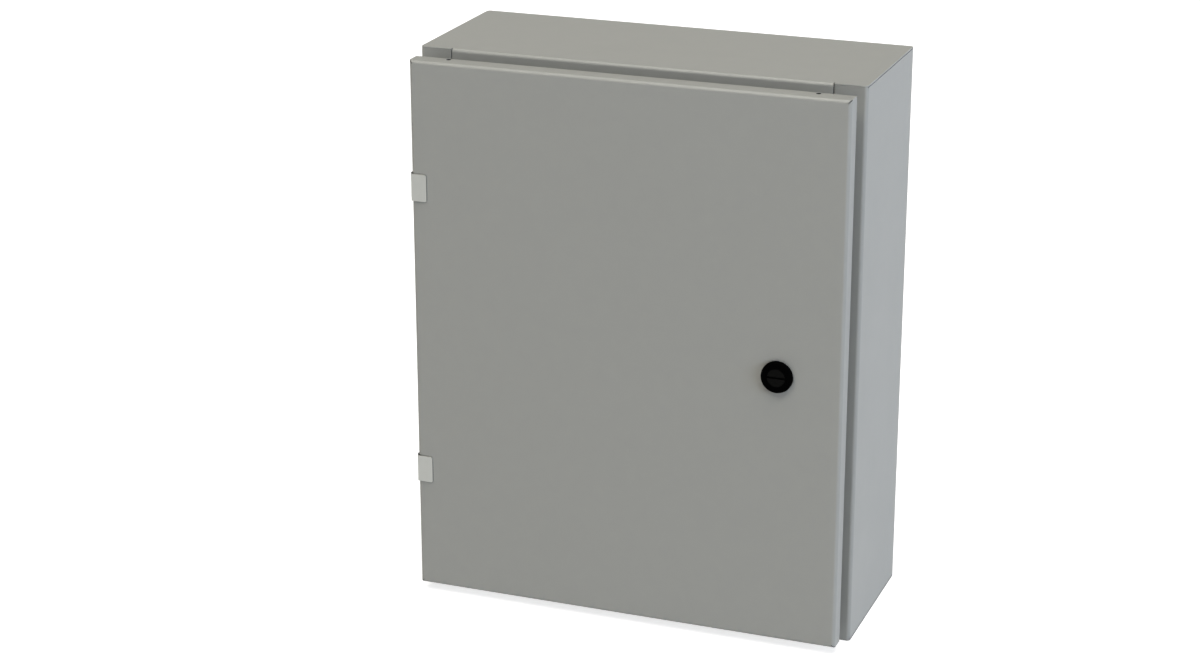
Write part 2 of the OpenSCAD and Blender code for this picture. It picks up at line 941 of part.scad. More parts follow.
module door_ground_stud() {
    color(copper)
        at_door_ground()
            cylinder(h = ground_len, d = ground_stud_d);
}

module door_ground_washer() {
    color(zinc_grey)
        at_door_ground()
            ground_washer();
}

module door_ground_nut() {
    color(zinc_grey)
        at_door_ground()
            ground_nut();
}

body_wrap();
top_cap();
bottom_cap();
door_panel();
door_gasket();
upper_hinge_body_leaf();
lower_hinge_body_leaf();
upper_hinge_door_leaf();
lower_hinge_door_leaf();
upper_hinge_pin();
lower_hinge_pin();
hinge_door_nuts();
hinge_body_nuts();
latch_housing();
latch_seal();
latch_nut();
latch_insert();
latch_cam();
latch_cam_washer();
latch_cam_screw();
mounting_panel();
panel_studs();
panel_washers();
panel_nuts();
body_ground_stud();
body_ground_washer();
body_ground_nut();
door_ground_stud();
door_ground_washer();
door_ground_nut();
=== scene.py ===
"""Looks of a wall-mounted sheet-steel electrical enclosure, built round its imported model.

Sizes in the classes are millimetres, and MM turns them to the scene's metres.
"""

import logging
import math
from dataclasses import dataclass, replace
from enum import Enum
from typing import Any, Mapping, Sequence

import bpy
import numpy as np
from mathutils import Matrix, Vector


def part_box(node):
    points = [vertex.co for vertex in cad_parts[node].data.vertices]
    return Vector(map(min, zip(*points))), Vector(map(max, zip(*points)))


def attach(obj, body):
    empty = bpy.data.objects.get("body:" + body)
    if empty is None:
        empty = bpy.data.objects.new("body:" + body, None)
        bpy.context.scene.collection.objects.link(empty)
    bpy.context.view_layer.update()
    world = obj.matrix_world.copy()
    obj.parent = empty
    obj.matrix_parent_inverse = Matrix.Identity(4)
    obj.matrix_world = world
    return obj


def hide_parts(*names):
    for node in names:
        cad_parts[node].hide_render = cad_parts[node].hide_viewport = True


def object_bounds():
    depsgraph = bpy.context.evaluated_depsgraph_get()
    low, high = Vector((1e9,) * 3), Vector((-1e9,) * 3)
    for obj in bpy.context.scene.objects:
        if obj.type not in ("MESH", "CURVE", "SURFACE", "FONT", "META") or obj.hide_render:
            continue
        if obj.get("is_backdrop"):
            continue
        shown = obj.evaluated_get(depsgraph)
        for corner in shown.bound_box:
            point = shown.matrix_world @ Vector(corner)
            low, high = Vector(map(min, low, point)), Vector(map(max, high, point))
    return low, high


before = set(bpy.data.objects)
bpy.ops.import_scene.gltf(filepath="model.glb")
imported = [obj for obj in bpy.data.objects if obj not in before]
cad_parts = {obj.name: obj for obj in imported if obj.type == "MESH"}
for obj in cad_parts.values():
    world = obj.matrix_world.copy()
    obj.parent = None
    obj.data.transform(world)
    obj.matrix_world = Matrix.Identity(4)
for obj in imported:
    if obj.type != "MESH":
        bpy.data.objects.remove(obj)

Array = np.ndarray
Materials = dict["Slot", bpy.types.Material]

LOG = logging.getLogger("enclosure")
MM = 0.001
PHOTO_WIDTH = 1200
SENSOR_MM = 36.0
SHARP_ANGLE = math.radians(25)
ROUND_STEPS = 48
HEX_STEPS = 96
WHITE = "#ffffff"
# Sockets of a mix node that is set to colours
MIX_FACTOR, MIX_A, MIX_B, MIX_RESULT = 0, 6, 7, 2
# Gauge of the folded sheet, and thickness of a coat of powder on it
SHEET = 1.6
PAINT_SKIN = 0.06
# Radius of a nut's flat face, as a share of its width across flats, and the climb of the chamfer round it
HEX_FACE = 0.475
HEX_CHAMFER = math.tan(math.radians(30))
# Countersink of a nut, as a share of its hole's radius, and round edge of a washer, of its thickness
COUNTERSINK = 0.1
WASHER_EDGE = 0.25
# Depth of a thread, as a share of its pitch, and how far the point lies under the core, of that depth
THREAD_DEPTH = 0.6
THREAD_POINT = 0.5
# Height of a thread's full triangle over what is left of it between the flat crest and root
THREAD_STRETCH = 1.5
# Rows of points in one pitch
THREAD_ROWS = 8


class Slot(Enum):
    """Material slots of the record, except the grey paint, which the casing and the door mix themselves."""

    HINGE_STEEL = "hinge_steel"
    BLACK_STEEL = "black_steel"
    LATCH_BLACK = "latch_black"
    GASKET_FOAM = "gasket_foam"
    PANEL_WHITE = "panel_white"
    ZINC_PLATE = "zinc_plate"
    COPPER_STUD = "copper_stud"


class Way(Enum):
    """Direction in which a fastener points, away from the face that carries it."""

    RIGHT = (1.0, 0.0, 0.0)
    FRONT = (0.0, -1.0, 0.0)
    BACK = (0.0, 1.0, 0.0)


def linear(colour: str) -> tuple[float, float, float, float]:
    """Turn an sRGB hex value to a linear colour.

    Args:
        colour: Hex value with its leading sign.

    Returns:
        Red, green, blue and an alpha of 1.
    """
    srgb = np.array([int(colour[i:i + 2], 16) for i in (1, 3, 5)]) / 255
    rgb = np.where(srgb <= 0.04045, srgb / 12.92, ((srgb + 0.055) / 1.055) ** 2.4)
    return (*rgb.tolist(), 1.0)


def per_metre(size_mm: float) -> float:
    """Pattern scale at which one feature is about size_mm wide."""
    return 1 / (size_mm * MM)


def add_node(
    tree: bpy.types.NodeTree, kind: str, inputs: Mapping[str | int, Any] | None = None, **settings: Any
) -> bpy.types.Node:
    """Add a shader node with its settings and links.

    Args:
        tree: Node tree that gets the node.
        kind: Blender's name of the node type.
        inputs: A constant or another node's output socket for each input, by name or index.
        **settings: The node's own properties.

    Returns:
        The new node.
    """
    node = tree.nodes.new(kind)
    for name, value in settings.items():
        setattr(node, name, value)
    for key, value in (inputs or {}).items():
        if isinstance(value, bpy.types.NodeSocket):
            tree.links.new(value, node.inputs[key])
        else:
            node.inputs[key].default_value = value
    return node


def mirror_rays(tree: bpy.types.NodeTree, path: bpy.types.Node) -> bpy.types.NodeSocket:
    """Tell the rays that metal, gloss and glass send out from the others.

    Args:
        tree: Node tree that gets the node.
        path: Light path node of the tree.

    Returns:
        Socket that is 1 for a glossy or a transmission ray and 0 for others.
    """
    sources = {0: path.outputs["Is Glossy Ray"], 1: path.outputs["Is Transmission Ray"]}
    return add_node(tree, "ShaderNodeMath", sources, operation="MAXIMUM").outputs[0]


@dataclass(frozen=True)
class Finish:
    """What all finishes share: a material with one surface shader."""

    name: str

    def build(self) -> bpy.types.Material:
        """Make the material.

        Returns:
            The material with this finish's nodes.
        """
        material = bpy.data.materials.new(self.name)
        material.use_nodes = True
        tree = material.node_tree
        tree.nodes.clear()
        shader = self.shader(tree)
        add_node(tree, "ShaderNodeOutputMaterial", {"Surface": shader.outputs[0]})
        return material

    def shader(self, tree: bpy.types.NodeTree) -> bpy.types.Node:
        """Add the nodes of the surface.

        Args:
            tree: Node tree that gets the nodes.

        Returns:
            The node whose first output is the surface.
        """
        raise NotImplementedError


@dataclass(frozen=True)
class ShadeSpot:
    """Upright box, with its mirror image across X, whose surfaces get painted shade: a dark colour for a
    groove or hole in shadow.
    """

    middle: tuple[float, float, float]
    half: tuple[float, float, float]

    def mask(self, tree: bpy.types.NodeTree, place: bpy.types.NodeSocket) -> bpy.types.NodeSocket:
        """Tell whether a point lies in the box: its largest distance past a pair of faces is below zero.

        Args:
            tree: Node tree that gets the nodes.
            place: Point, with its X mirrored to the right half.

        Returns:
            Socket that is 1 in the box and 0 outside.
        """
        middle, half = (tuple(MM * value for value in triple) for triple in (self.middle, self.half))
        offset = add_node(tree, "ShaderNodeVectorMath", {0: place, 1: middle}, operation="SUBTRACT")
        reach = add_node(tree, "ShaderNodeVectorMath", {0: offset.outputs[0]}, operation="ABSOLUTE")
        past = add_node(tree, "ShaderNodeVectorMath", {0: reach.outputs[0], 1: half}, operation="SUBTRACT")
        x, y, z = add_node(tree, "ShaderNodeSeparateXYZ", {0: past.outputs[0]}).outputs
        larger = add_node(tree, "ShaderNodeMath", {0: x, 1: y}, operation="MAXIMUM")
        largest = add_node(tree, "ShaderNodeMath", {0: larger.outputs[0], 1: z}, operation="MAXIMUM")
        inside = add_node(tree, "ShaderNodeMath", {0: largest.outputs[0], 1: 0.0}, operation="LESS_THAN")
        return inside.outputs[0]


@dataclass(frozen=True)
class PowderCoat(Finish):
    """Polyester powder coat, sprayed and baked on folded sheet steel.

    The eye gets one even colour with a faint cloudiness from the film's thickness, and a semi-gloss
    whose orange peel softens the light lines along the bends.
    """

    colour: str
    cloud_colour: str
    roughness: float
    specular: float
    cloud_mm: float = 14.0
    cloud_detail: float = 3.0
    gloss_cloud_mm: float = 60.0
    gloss_swing: float = 0.04
    # The real peel is about 1 mm wide, and is drawn twice as coarse so that it shows
    peel_mm: float = 2.0
    peel_detail: float = 1.0
    peel_depth_mm: float = 0.012
    # Rounding of the edges by the film
    edge_mm: float = 0.9
    # Painted shade: the colour darkens where joints and corners hide the surface
    painted_shade_mm: float = 1.1
    painted_shade_tone: float = 0.3
    rays: int = 6
    # Painted shade: boxes where grooves and holes are coloured dark as if in shadow
    shade_spots: tuple[ShadeSpot, ...] = ()
    shade_colour: str = "#1c1d1e"

    def shader(self, tree: bpy.types.NodeTree) -> bpy.types.Node:
        """Cloudy colour with painted shade in creases, uneven gloss, round edges and an orange-peel bump."""
        place = add_node(tree, "ShaderNodeTexCoord").outputs["Object"]
        cloud = add_node(
            tree,
            "ShaderNodeTexNoise",
            {"Vector": place, "Scale": per_metre(self.cloud_mm), "Detail": self.cloud_detail},
        )
        colour = add_node(
            tree,
            "ShaderNodeMix",
            {
                MIX_FACTOR: cloud.outputs["Fac"],
                MIX_A: linear(self.colour),
                MIX_B: linear(self.cloud_colour),
            },
            data_type="RGBA",
        )
        # Painted shade: occlusion within a short reach darkens the colour
        occlusion = add_node(
            tree, "ShaderNodeAmbientOcclusion", {"Distance": self.painted_shade_mm * MM}, samples=self.rays
        )
        shade = add_node(
            tree, "ShaderNodeMapRange", {"Value": occlusion.outputs["AO"], "To Min": self.painted_shade_tone}
        )
        shaded = add_node(
            tree,
            "ShaderNodeMix",
            {MIX_FACTOR: 1.0, MIX_A: colour.outputs[MIX_RESULT], MIX_B: shade.outputs["Result"]},
            data_type="RGBA",
            blend_type="MULTIPLY",
        )
        surface = shaded.outputs[MIX_RESULT]
        x, y, z = add_node(tree, "ShaderNodeSeparateXYZ", {0: place}).outputs
        right = add_node(tree, "ShaderNodeMath", {0: x}, operation="ABSOLUTE")
        mirrored = add_node(tree, "ShaderNodeCombineXYZ", {0: right.outputs[0], 1: y, 2: z})
        # Painted shade in the dark grooves and holes
        for spot in self.shade_spots:
            patch = add_node(
                tree,
                "ShaderNodeMix",
                {
                    MIX_FACTOR: spot.mask(tree, mirrored.outputs[0]),
                    MIX_A: surface,
                    MIX_B: linear(self.shade_colour),
                },
                data_type="RGBA",
            )
            surface = patch.outputs[MIX_RESULT]
        edge = add_node(tree, "ShaderNodeBevel", {"Radius": self.edge_mm * MM}, samples=self.rays)
        gloss_cloud = add_node(
            tree, "ShaderNodeTexNoise", {"Vector": place, "Scale": per_metre(self.gloss_cloud_mm)}
        )
        gloss = add_node(
            tree,
            "ShaderNodeMapRange",
            {
                "Value": gloss_cloud.outputs["Fac"],
                "To Min": self.roughness - self.gloss_swing,
                "To Max": self.roughness + self.gloss_swing,
            },
        )
        peel = add_node(
            tree,
            "ShaderNodeTexNoise",
            {"Vector": place, "Scale": per_metre(self.peel_mm), "Detail": self.peel_detail},
        )
        bump = add_node(
            tree,
            "ShaderNodeBump",
            {
                "Height": peel.outputs["Fac"],
                "Distance": self.peel_depth_mm * MM,
                "Normal": edge.outputs["Normal"],
            },
        )
        return add_node(
            tree,
            "ShaderNodeBsdfPrincipled",
            {
                "Base Color": surface,
                "Roughness": gloss.outputs["Result"],
                "Specular IOR Level": self.specular,
                "Normal": bump.outputs["Normal"],
            },
        )


@dataclass(frozen=True)
class RolledMetal(Finish):
    """Bare or plated metal with the fine grain of its rolling or turning.

    The eye gets a soft metallic sheen that is drawn out along the grain, with a slightly uneven tone.
    """

    colour: str
    tint: str
    roughness: float
    roughness_swing: float
    # The real grain is some 0.05 mm wide, and is drawn coarser so that it shows
    grain_mm: float = 0.35
    grain_length_mm: float = 12.0
    tone_mm: float = 7.0
    grain_depth_mm: float = 0.002
    # Edges that tumbling has broken
    edge_mm: float = 0.5
    rays: int = 6

    def shader(self, tree: bpy.types.NodeTree) -> bpy.types.Node:
        """Uneven tone, and a roughness and bump that follow the grain along X."""
        place = add_node(tree, "ShaderNodeTexCoord").outputs["Object"]
        along = self.grain_mm / self.grain_length_mm
        stretched = add_node(tree, "ShaderNodeMapping", {"Vector": place, "Scale": (along, 1.0, 1.0)})
        grain = add_node(
            tree,
            "ShaderNodeTexNoise",
            {"Vector": stretched.outputs["Vector"], "Scale": per_metre(self.grain_mm)},
        )
        tone = add_node(tree, "ShaderNodeTexNoise", {"Vector": place, "Scale": per_metre(self.tone_mm)})
        colour = add_node(
            tree,
            "ShaderNodeMix",
            {MIX_FACTOR: tone.outputs["Fac"], MIX_A: linear(self.colour), MIX_B: linear(self.tint)},
            data_type="RGBA",
        )
        rough = add_node(
            tree,
            "ShaderNodeMapRange",
            {
                "Value": grain.outputs["Fac"],
                "To Min": self.roughness - self.roughness_swing,
                "To Max": self.roughness + self.roughness_swing,
            },
        )
        edge = add_node(tree, "ShaderNodeBevel", {"Radius": self.edge_mm * MM}, samples=self.rays)
        bump = add_node(
            tree,
            "ShaderNodeBump",
            {
                "Height": grain.outputs["Fac"],
                "Distance": self.grain_depth_mm * MM,
                "Normal": edge.outputs["Normal"],
            },
        )
        return add_node(
            tree,
            "ShaderNodeBsdfPrincipled",
            {
                "Base Color": colour.outputs[MIX_RESULT],
                "Metallic": 1.0,
                "Roughness": rough.outputs["Result"],
                "Normal": bump.outputs["Normal"],
            },
        )


@dataclass(frozen=True)
class MattBlack(Finish):
    """Black skin of glass-filled nylon from a spark-eroded tool, of blackened steel or of coated zinc.

    The eye gets a deep matt black whose fine pits leave only a weak, wide sheen.
    """

    colour: str
    pit_colour: str
    roughness: float
    specular: float
    pit_mm: float = 0.6
    pit_depth_mm: float = 0.02

    def shader(self, tree: bpy.types.NodeTree) -> bpy.types.Node:
        """Black with a pitted bump and a slightly uneven tone."""
        place = add_node(tree, "ShaderNodeTexCoord").outputs["Object"]
        pits = add_node(tree, "ShaderNodeTexNoise", {"Vector": place, "Scale": per_metre(self.pit_mm)})
        colour = add_node(
            tree,
            "ShaderNodeMix",
            {
                MIX_FACTOR: pits.outputs["Fac"],
                MIX_A: linear(self.colour),
                MIX_B: linear(self.pit_colour),
            },
            data_type="RGBA",
        )
        bump = add_node(
            tree, "ShaderNodeBump", {"Height": pits.outputs["Fac"], "Distance": self.pit_depth_mm * MM}
        )
        return add_node(
            tree,
            "ShaderNodeBsdfPrincipled",
            {
                "Base Color": colour.outputs[MIX_RESULT],
                "Roughness": self.roughness,
                "Specular IOR Level": self.specular,
                "Normal": bump.outputs["Normal"],
            },
        )


@dataclass(frozen=True)
class CellFoam(Finish):
    """Polyurethane foam, poured as a bead and risen in place.

    The eye gets a dark, dull skin with pin-prick cells and a soft bloom at its edges.
    """

    colour: str
    cell_colour: str
    cell_mm: float = 0.9
    cell_depth_mm: float = 0.12
    roughness: float = 0.85
    bloom: float = 0.15

    def shader(self, tree: bpy.types.NodeTree) -> bpy.types.Node:
        """Dark cells in a matt skin, as colour and as bump."""
        place = add_node(tree, "ShaderNodeTexCoord").outputs["Object"]
        cells = add_node(tree, "ShaderNodeTexVoronoi", {"Vector": place, "Scale": per_metre(self.cell_mm)})
        colour = add_node(
            tree,
            "ShaderNodeMix",
            {
                MIX_FACTOR: cells.outputs["Distance"],
                MIX_A: linear(self.cell_colour),
                MIX_B: linear(self.colour),
            },
            data_type="RGBA",
        )
        bump = add_node(
            tree,
            "ShaderNodeBump",
            {"Height": cells.outputs["Distance"], "Distance": self.cell_depth_mm * MM},
        )
        return add_node(
            tree,
            "ShaderNodeBsdfPrincipled",
            {
                "Base Color": colour.outputs[MIX_RESULT],
                "Roughness": self.roughness,
                "Sheen Weight": self.bloom,
                "Normal": bump.outputs["Normal"],
            },
        )


@dataclass(frozen=True)
class PaperSweep(Finish):
    """Matt white studio paper.

    The eye gets a white ground that keeps a soft shadow, and shiny pieces show the same white.
    """

    colour: str
    glow: float

    def shader(self, tree: bpy.types.NodeTree) -> bpy.types.Node:
        """Matt paper with a glow for the camera, which keeps the shadow, and white for mirror rays."""
        path = add_node(tree, "ShaderNodeLightPath")
        glow = add_node(
            tree, "ShaderNodeMath", {0: path.outputs["Is Camera Ray"], 1: self.glow}, operation="MULTIPLY"
        )
        paper = add_node(tree, "ShaderNodeBsdfDiffuse", {"Color": linear(self.colour)})
        light = add_node(tree, "ShaderNodeEmission", {"Strength": glow.outputs[0]})
        seen = add_node(tree, "ShaderNodeAddShader", {0: paper.outputs[0], 1: light.outputs[0]})
        white = add_node(tree, "ShaderNodeEmission", {"Strength": 1.0})
        return add_node(
            tree,
            "ShaderNodeMixShader",
            {0: mirror_rays(tree, path), 1: seen.outputs[0], 2: white.outputs[0]},
        )


GREY_COAT = PowderCoat("powder_coated_steel_grey", "#9c9d99", "#9fa09b", 0.4, 0.45)
FINISHES: dict[Slot, Finish] = {
    Slot.HINGE_STEEL: RolledMetal("satin_stainless_sheet", "#b6b7b2", "#bbbcb7", 0.42, 0.06),
    Slot.BLACK_STEEL: MattBlack("blackened_steel", "#0c0c0c", "#121212", 0.5, 0.3),
    Slot.LATCH_BLACK: MattBlack("moulded_black_nylon", "#010101", "#020202", 0.6, 0.01),
    Slot.GASKET_FOAM: CellFoam("foamed_polyurethane", "#3f4042", "#2b2c2e"),
    Slot.PANEL_WHITE: PowderCoat("powder_coated_steel_white", "#e6e6e1", "#e9e9e5", 0.4, 0.3),
    Slot.ZINC_PLATE: RolledMetal("bright_zinc_plate", "#c2c4c3", "#cbccc6", 0.3, 0.06),
    Slot.COPPER_STUD: RolledMetal("copper_flashed_steel", "#c48a63", "#b97c55", 0.32, 0.08),
}


@dataclass(frozen=True)
class Shell:
    """A grid of points whose columns run round.

    Rows that don't run round are closed by a flat face at each end.
    """

    points: Array
    ring_of_rows: bool

    def faces(self, first: int) -> list[list[int]]:
        """Index the faces, turned outwards.

        Args:
            first: Index of the shell's first point in the mesh.

        Returns:
            One list of point indices for each face.
        """
        rows, columns, _ = self.points.shape
        row = np.arange(rows if self.ring_of_rows else rows - 1)[:, None]
        column = np.arange(columns)[None, :]
        next_row = (row + 1) % rows
        next_column = (column + 1) % columns
        quad_corners = (
            row * columns + column,
            row * columns + next_column,
            next_row * columns + next_column,
            next_row * columns + column,
        )
        quads = np.stack(np.broadcast_arrays(*quad_corners), axis=-1).reshape(-1, 4)
        inside_out = self.signed_volume(quads) < 0
        ends = np.arange(columns)
        caps = [] if self.ring_of_rows else [ends[::-1], ends + (rows - 1) * columns]
        step = -1 if inside_out else 1
        return (quads[:, ::step] + first).tolist() + [(cap[::step] + first).tolist() for cap in caps]

    def signed_volume(self, quads: Array) -> float:
        """Volume inside the quads: the sum of the tetrahedra from the shell's middle to each triangle.

        Args:
            quads: Point indices of the quads.

        Returns:
            The volume, below zero where the faces point inwards.
        """
        flat = self.points.reshape(-1, 3)
        corner = (flat - flat.mean(axis=0))[quads]
        halves = np.concatenate((corner[:, (0, 1, 2)], corner[:, (0, 2, 3)]))
        return float(np.einsum("ij,ij->", halves[:, 0], np.cross(halves[:, 1], halves[:, 2])) / 6)


@dataclass(frozen=True)
class Spot:
    """Place of a fastener: the point where its axis leaves the face that carries it, and its direction."""

    start: Array
    way: Way

    def points(self, radius: Array | float, turn: Array, level: Array | float) -> Array:
        """Turn cylinder coordinates about the axis to points.

        Args:
            radius: Distance from the axis.
            turn: Angle round the axis, in radians.
            level: Distance along the axis.

        Returns:
            Points in metres, with the coordinates in the last place.
        """
        along = np.array(self.way.value)
        across = np.array((0.0, 0.0, -1.0) if self.way is Way.RIGHT else (1.0, 0.0, 0.0))
        upright = np.cross(along, across)
        radius, turn, level = np.broadcast_arrays(radius, turn, level)
        side = (radius * np.cos(turn))[..., None] * across + (radius * np.sin(turn))[..., None] * upright
        return self.start + MM * (side + level[..., None] * along)


def ring(steps: int) -> Array:
    """Angles of one turn as a row of columns."""
    return np.linspace(0, 2 * np.pi, steps, endpoint=False)[None, :]


def hex_radius(flats: float, turn: Array) -> Array:
    """Distance of a hexagon's edge from its middle: half the flats over the cosine from the nearest flat."""
    return flats / 2 / np.cos(np.mod(turn, np.pi / 3) - np.pi / 6)


def hex_nut(spot: Spot, flats: float, height: float, bore: float, lift: float = 0.0) -> Shell:
    """Hexagon nut: a profile carried round the axis, whose outer side follows the hexagon.

    At each angle the profile goes up the bore, over both countersinks and faces, and down the side. The
    chamfers are cones of 30 degrees, so they climb the side by the hexagon's excess over the face circle.

    Args:
        spot: Axis of the nut.
        flats: Width across flats.
        height: Height of the nut.
        bore: Diameter of the hole.
        lift: Distance of the nut from the spot.

    Returns:
        The closed shell.
    """
    turn = ring(HEX_STEPS)
    side = hex_radius(flats, turn)
    face = HEX_FACE * flats
    slope = (side - face) * HEX_CHAMFER
    hole = bore / 2
    sink = COUNTERSINK * hole
    radius = (hole, hole + sink, face, side, side, face, hole + sink, hole)
    level = (sink, 0.0, 0.0, slope, height - slope, height, height, height - sink)
    radii, levels = (
        np.concatenate([np.broadcast_to(value, turn.shape) for value in values])
        for values in (radius, level)
    )
    return Shell(spot.points(radii, turn, levels + lift), True)


def turned(
    spot: Spot, profile: Sequence[tuple[float, float]], ring_of_rows: bool, lift: float = 0.0
) -> Shell:
    """Turned piece: each point of a profile carried round the axis on its own circle.

    Args:
        spot: Axis of the piece.
        profile: Radius and level of each point, in order.
        ring_of_rows: True where the profile closes on itself, as on a washer.
        lift: Distance of the piece from the spot.

    Returns:
        The closed shell.
    """
    radius, level = np.array(profile).T[:, :, None]
    return Shell(spot.points(radius, ring(ROUND_STEPS), level + lift), ring_of_rows)


def washer(spot: Spot, diameter: float, thickness: float, bore: float, lift: float = 0.0) -> Shell:
    """Punched washer, with its outer edges broken.

    Args:
        spot: Axis of the washer.
        diameter: Outer diameter.
        thickness: Thickness.
        bore: Diameter of the hole.
        lift: Distance of the washer from the spot.

    Returns:
        The closed shell.
    """
    soft = WASHER_EDGE * thickness
    outer, hole = diameter / 2, bore / 2
    profile = (
        (hole, 0.0),
        (outer - soft, 0.0),
        (outer, soft),
        (outer, thickness - soft),
        (outer - soft, thickness),
        (hole, thickness),
    )
    return turned(spot, profile, True, lift)


def thread(spot: Spot, diameter: float, pitch: float, length: float, lift: float = 0.0) -> Shell:
    """Threaded rod with a pointed end.

    The radius is the core's plus the thread's depth times a wave that climbs one pitch each turn. The
    wave is a triangle with its crest and root cut flat. Near the end it dies out, and the core narrows
    to the point's flat.

    Args:
        spot: Axis of the rod.
        diameter: Outer diameter of the thread.
        pitch: Climb of the thread in one turn.
        length: Length of the rod.
        lift: Distance of the rod's start from the spot.

    Returns:
        The closed shell.
    """
    depth = THREAD_DEPTH * pitch
    core = diameter / 2 - depth
    turn = ring(ROUND_STEPS)
    level = np.linspace(0, length, int(THREAD_ROWS * length / pitch) + 1)[:, None]
    triangle = np.abs(2 * np.mod(level / pitch - turn / (2 * np.pi), 1) - 1)
    wave = np.clip(THREAD_STRETCH * triangle - (THREAD_STRETCH - 1) / 2, 0, 1)
    to_end = np.clip((length - level) / depth, 0, 1)
    radius = core + depth * wave * to_end - THREAD_POINT * depth * (1 - to_end)
    return Shell(spot.points(radius, turn, level + lift), False)


def hex_head(spot: Spot, flats: float, height: float, lift: float = 0.0) -> Shell:
    """Hexagon screw head: the sides of a nut with a chamfer at the far end and no hole.

    Args:
        spot: Axis of the screw.
        flats: Width across flats.
        height: Height of the head.
        lift: Distance of the head from the spot.

    Returns:
        The closed shell.
    """
    turn = ring(HEX_STEPS)
    side = hex_radius(flats, turn)[0]
    face = np.full_like(side, HEX_FACE * flats)
    slope = (side - face) * HEX_CHAMFER
    radius = np.stack((side, side, face))
    level = np.stack((np.zeros_like(side), height - slope, np.full_like(side, height)))
    return Shell(spot.points(radius, turn, level + lift), False)


def make_piece(name: str, shells: Sequence[Shell]) -> bpy.types.Object:
    """Put shells into one mesh object at the origin.

    Args:
        name: Name of the piece.
        shells: The piece's closed shells.

    Returns:
        The object, smooth except at edges sharper than SHARP_ANGLE.
    """
    counts = [shell.points.shape[0] * shell.points.shape[1] for shell in shells]
    starts = np.concatenate(([0], np.cumsum(counts)[:-1])).tolist()
    points = np.concatenate([shell.points.reshape(-1, 3) for shell in shells])
    faces = [face for shell, start in zip(shells, starts) for face in shell.faces(start)]
    mesh = bpy.data.meshes.new(name)
    mesh.from_pydata(points.tolist(), [], faces)
    mesh.shade_smooth()
    mesh.set_sharp_from_angle(angle=SHARP_ANGLE)
    mesh.validate()
    piece = bpy.data.objects.new(name, mesh)
    bpy.context.scene.collection.objects.link(piece)
    return piece


def corners(node: str) -> tuple[Array, Array]:
    """Lowest and highest corner of a node, in metres."""
    low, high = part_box(node)
    return np.array(low), np.array(high)


def dress(material: bpy.types.Material, *nodes: str) -> None:
    """Give nodes of the model a finish.

    Args:
        material: The finish.
        *nodes: Names of the nodes.
    """
    for node in nodes:
        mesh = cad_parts[node].data
        mesh.materials.clear()
        mesh.materials.append(material)
        LOG.info("%s: %s", node, material.name)


def mount(piece: bpy.types.Object, materials: Materials, slot: Slot, body: str, *replaced: str) -> None:
    """Finish a new piece and tie it to its body.

    Args:
        piece: The new piece.
        materials: Material of each slot.
        slot: Slot of its finish.
        body: Body that it moves with.
        *replaced: Nodes that it stands for.
    """
    piece.data.materials.append(materials[slot])
    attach(piece, body)
    if replaced:
        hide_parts(*replaced)
    LOG.info("%s: %s on %s", piece.name, materials[slot].name, body)


@dataclass
class Casing:
    """Folded body: the wrap of back, sides and rim, and the two caps."""

    groove: float = 0.8

    def grooves(self) -> tuple[ShadeSpot, ...]:
        """Grooves between the sides and the plates of the caps, up to the outer faces' paint, which get
        painted shade.

        Returns:
            The groove under the top plate's edge and the one over the bottom plate's.
        """
        low, high = (corner / MM for corner in corners("body_wrap"))
        bottom, top = corners("bottom_cap")[0][2] / MM, corners("top_cap")[1][2] / MM
        half = self.groove / 2
        inset = half + PAINT_SKIN
        rise = SHEET - half + PAINT_SKIN
        return tuple(
            ShadeSpot((high[0] - inset, (low[1] + high[1]) / 2, z), (half, (high[1] - low[1]) / 2, half))
            for z in (top - rise, bottom + rise)
        )

    def build(self) -> None:
        """Paint the folded sheets."""
        coat = replace(GREY_COAT, name="powder_coated_steel_casing", shade_spots=self.grooves())
        dress(coat.build(), "body_wrap", "top_cap", "bottom_cap")


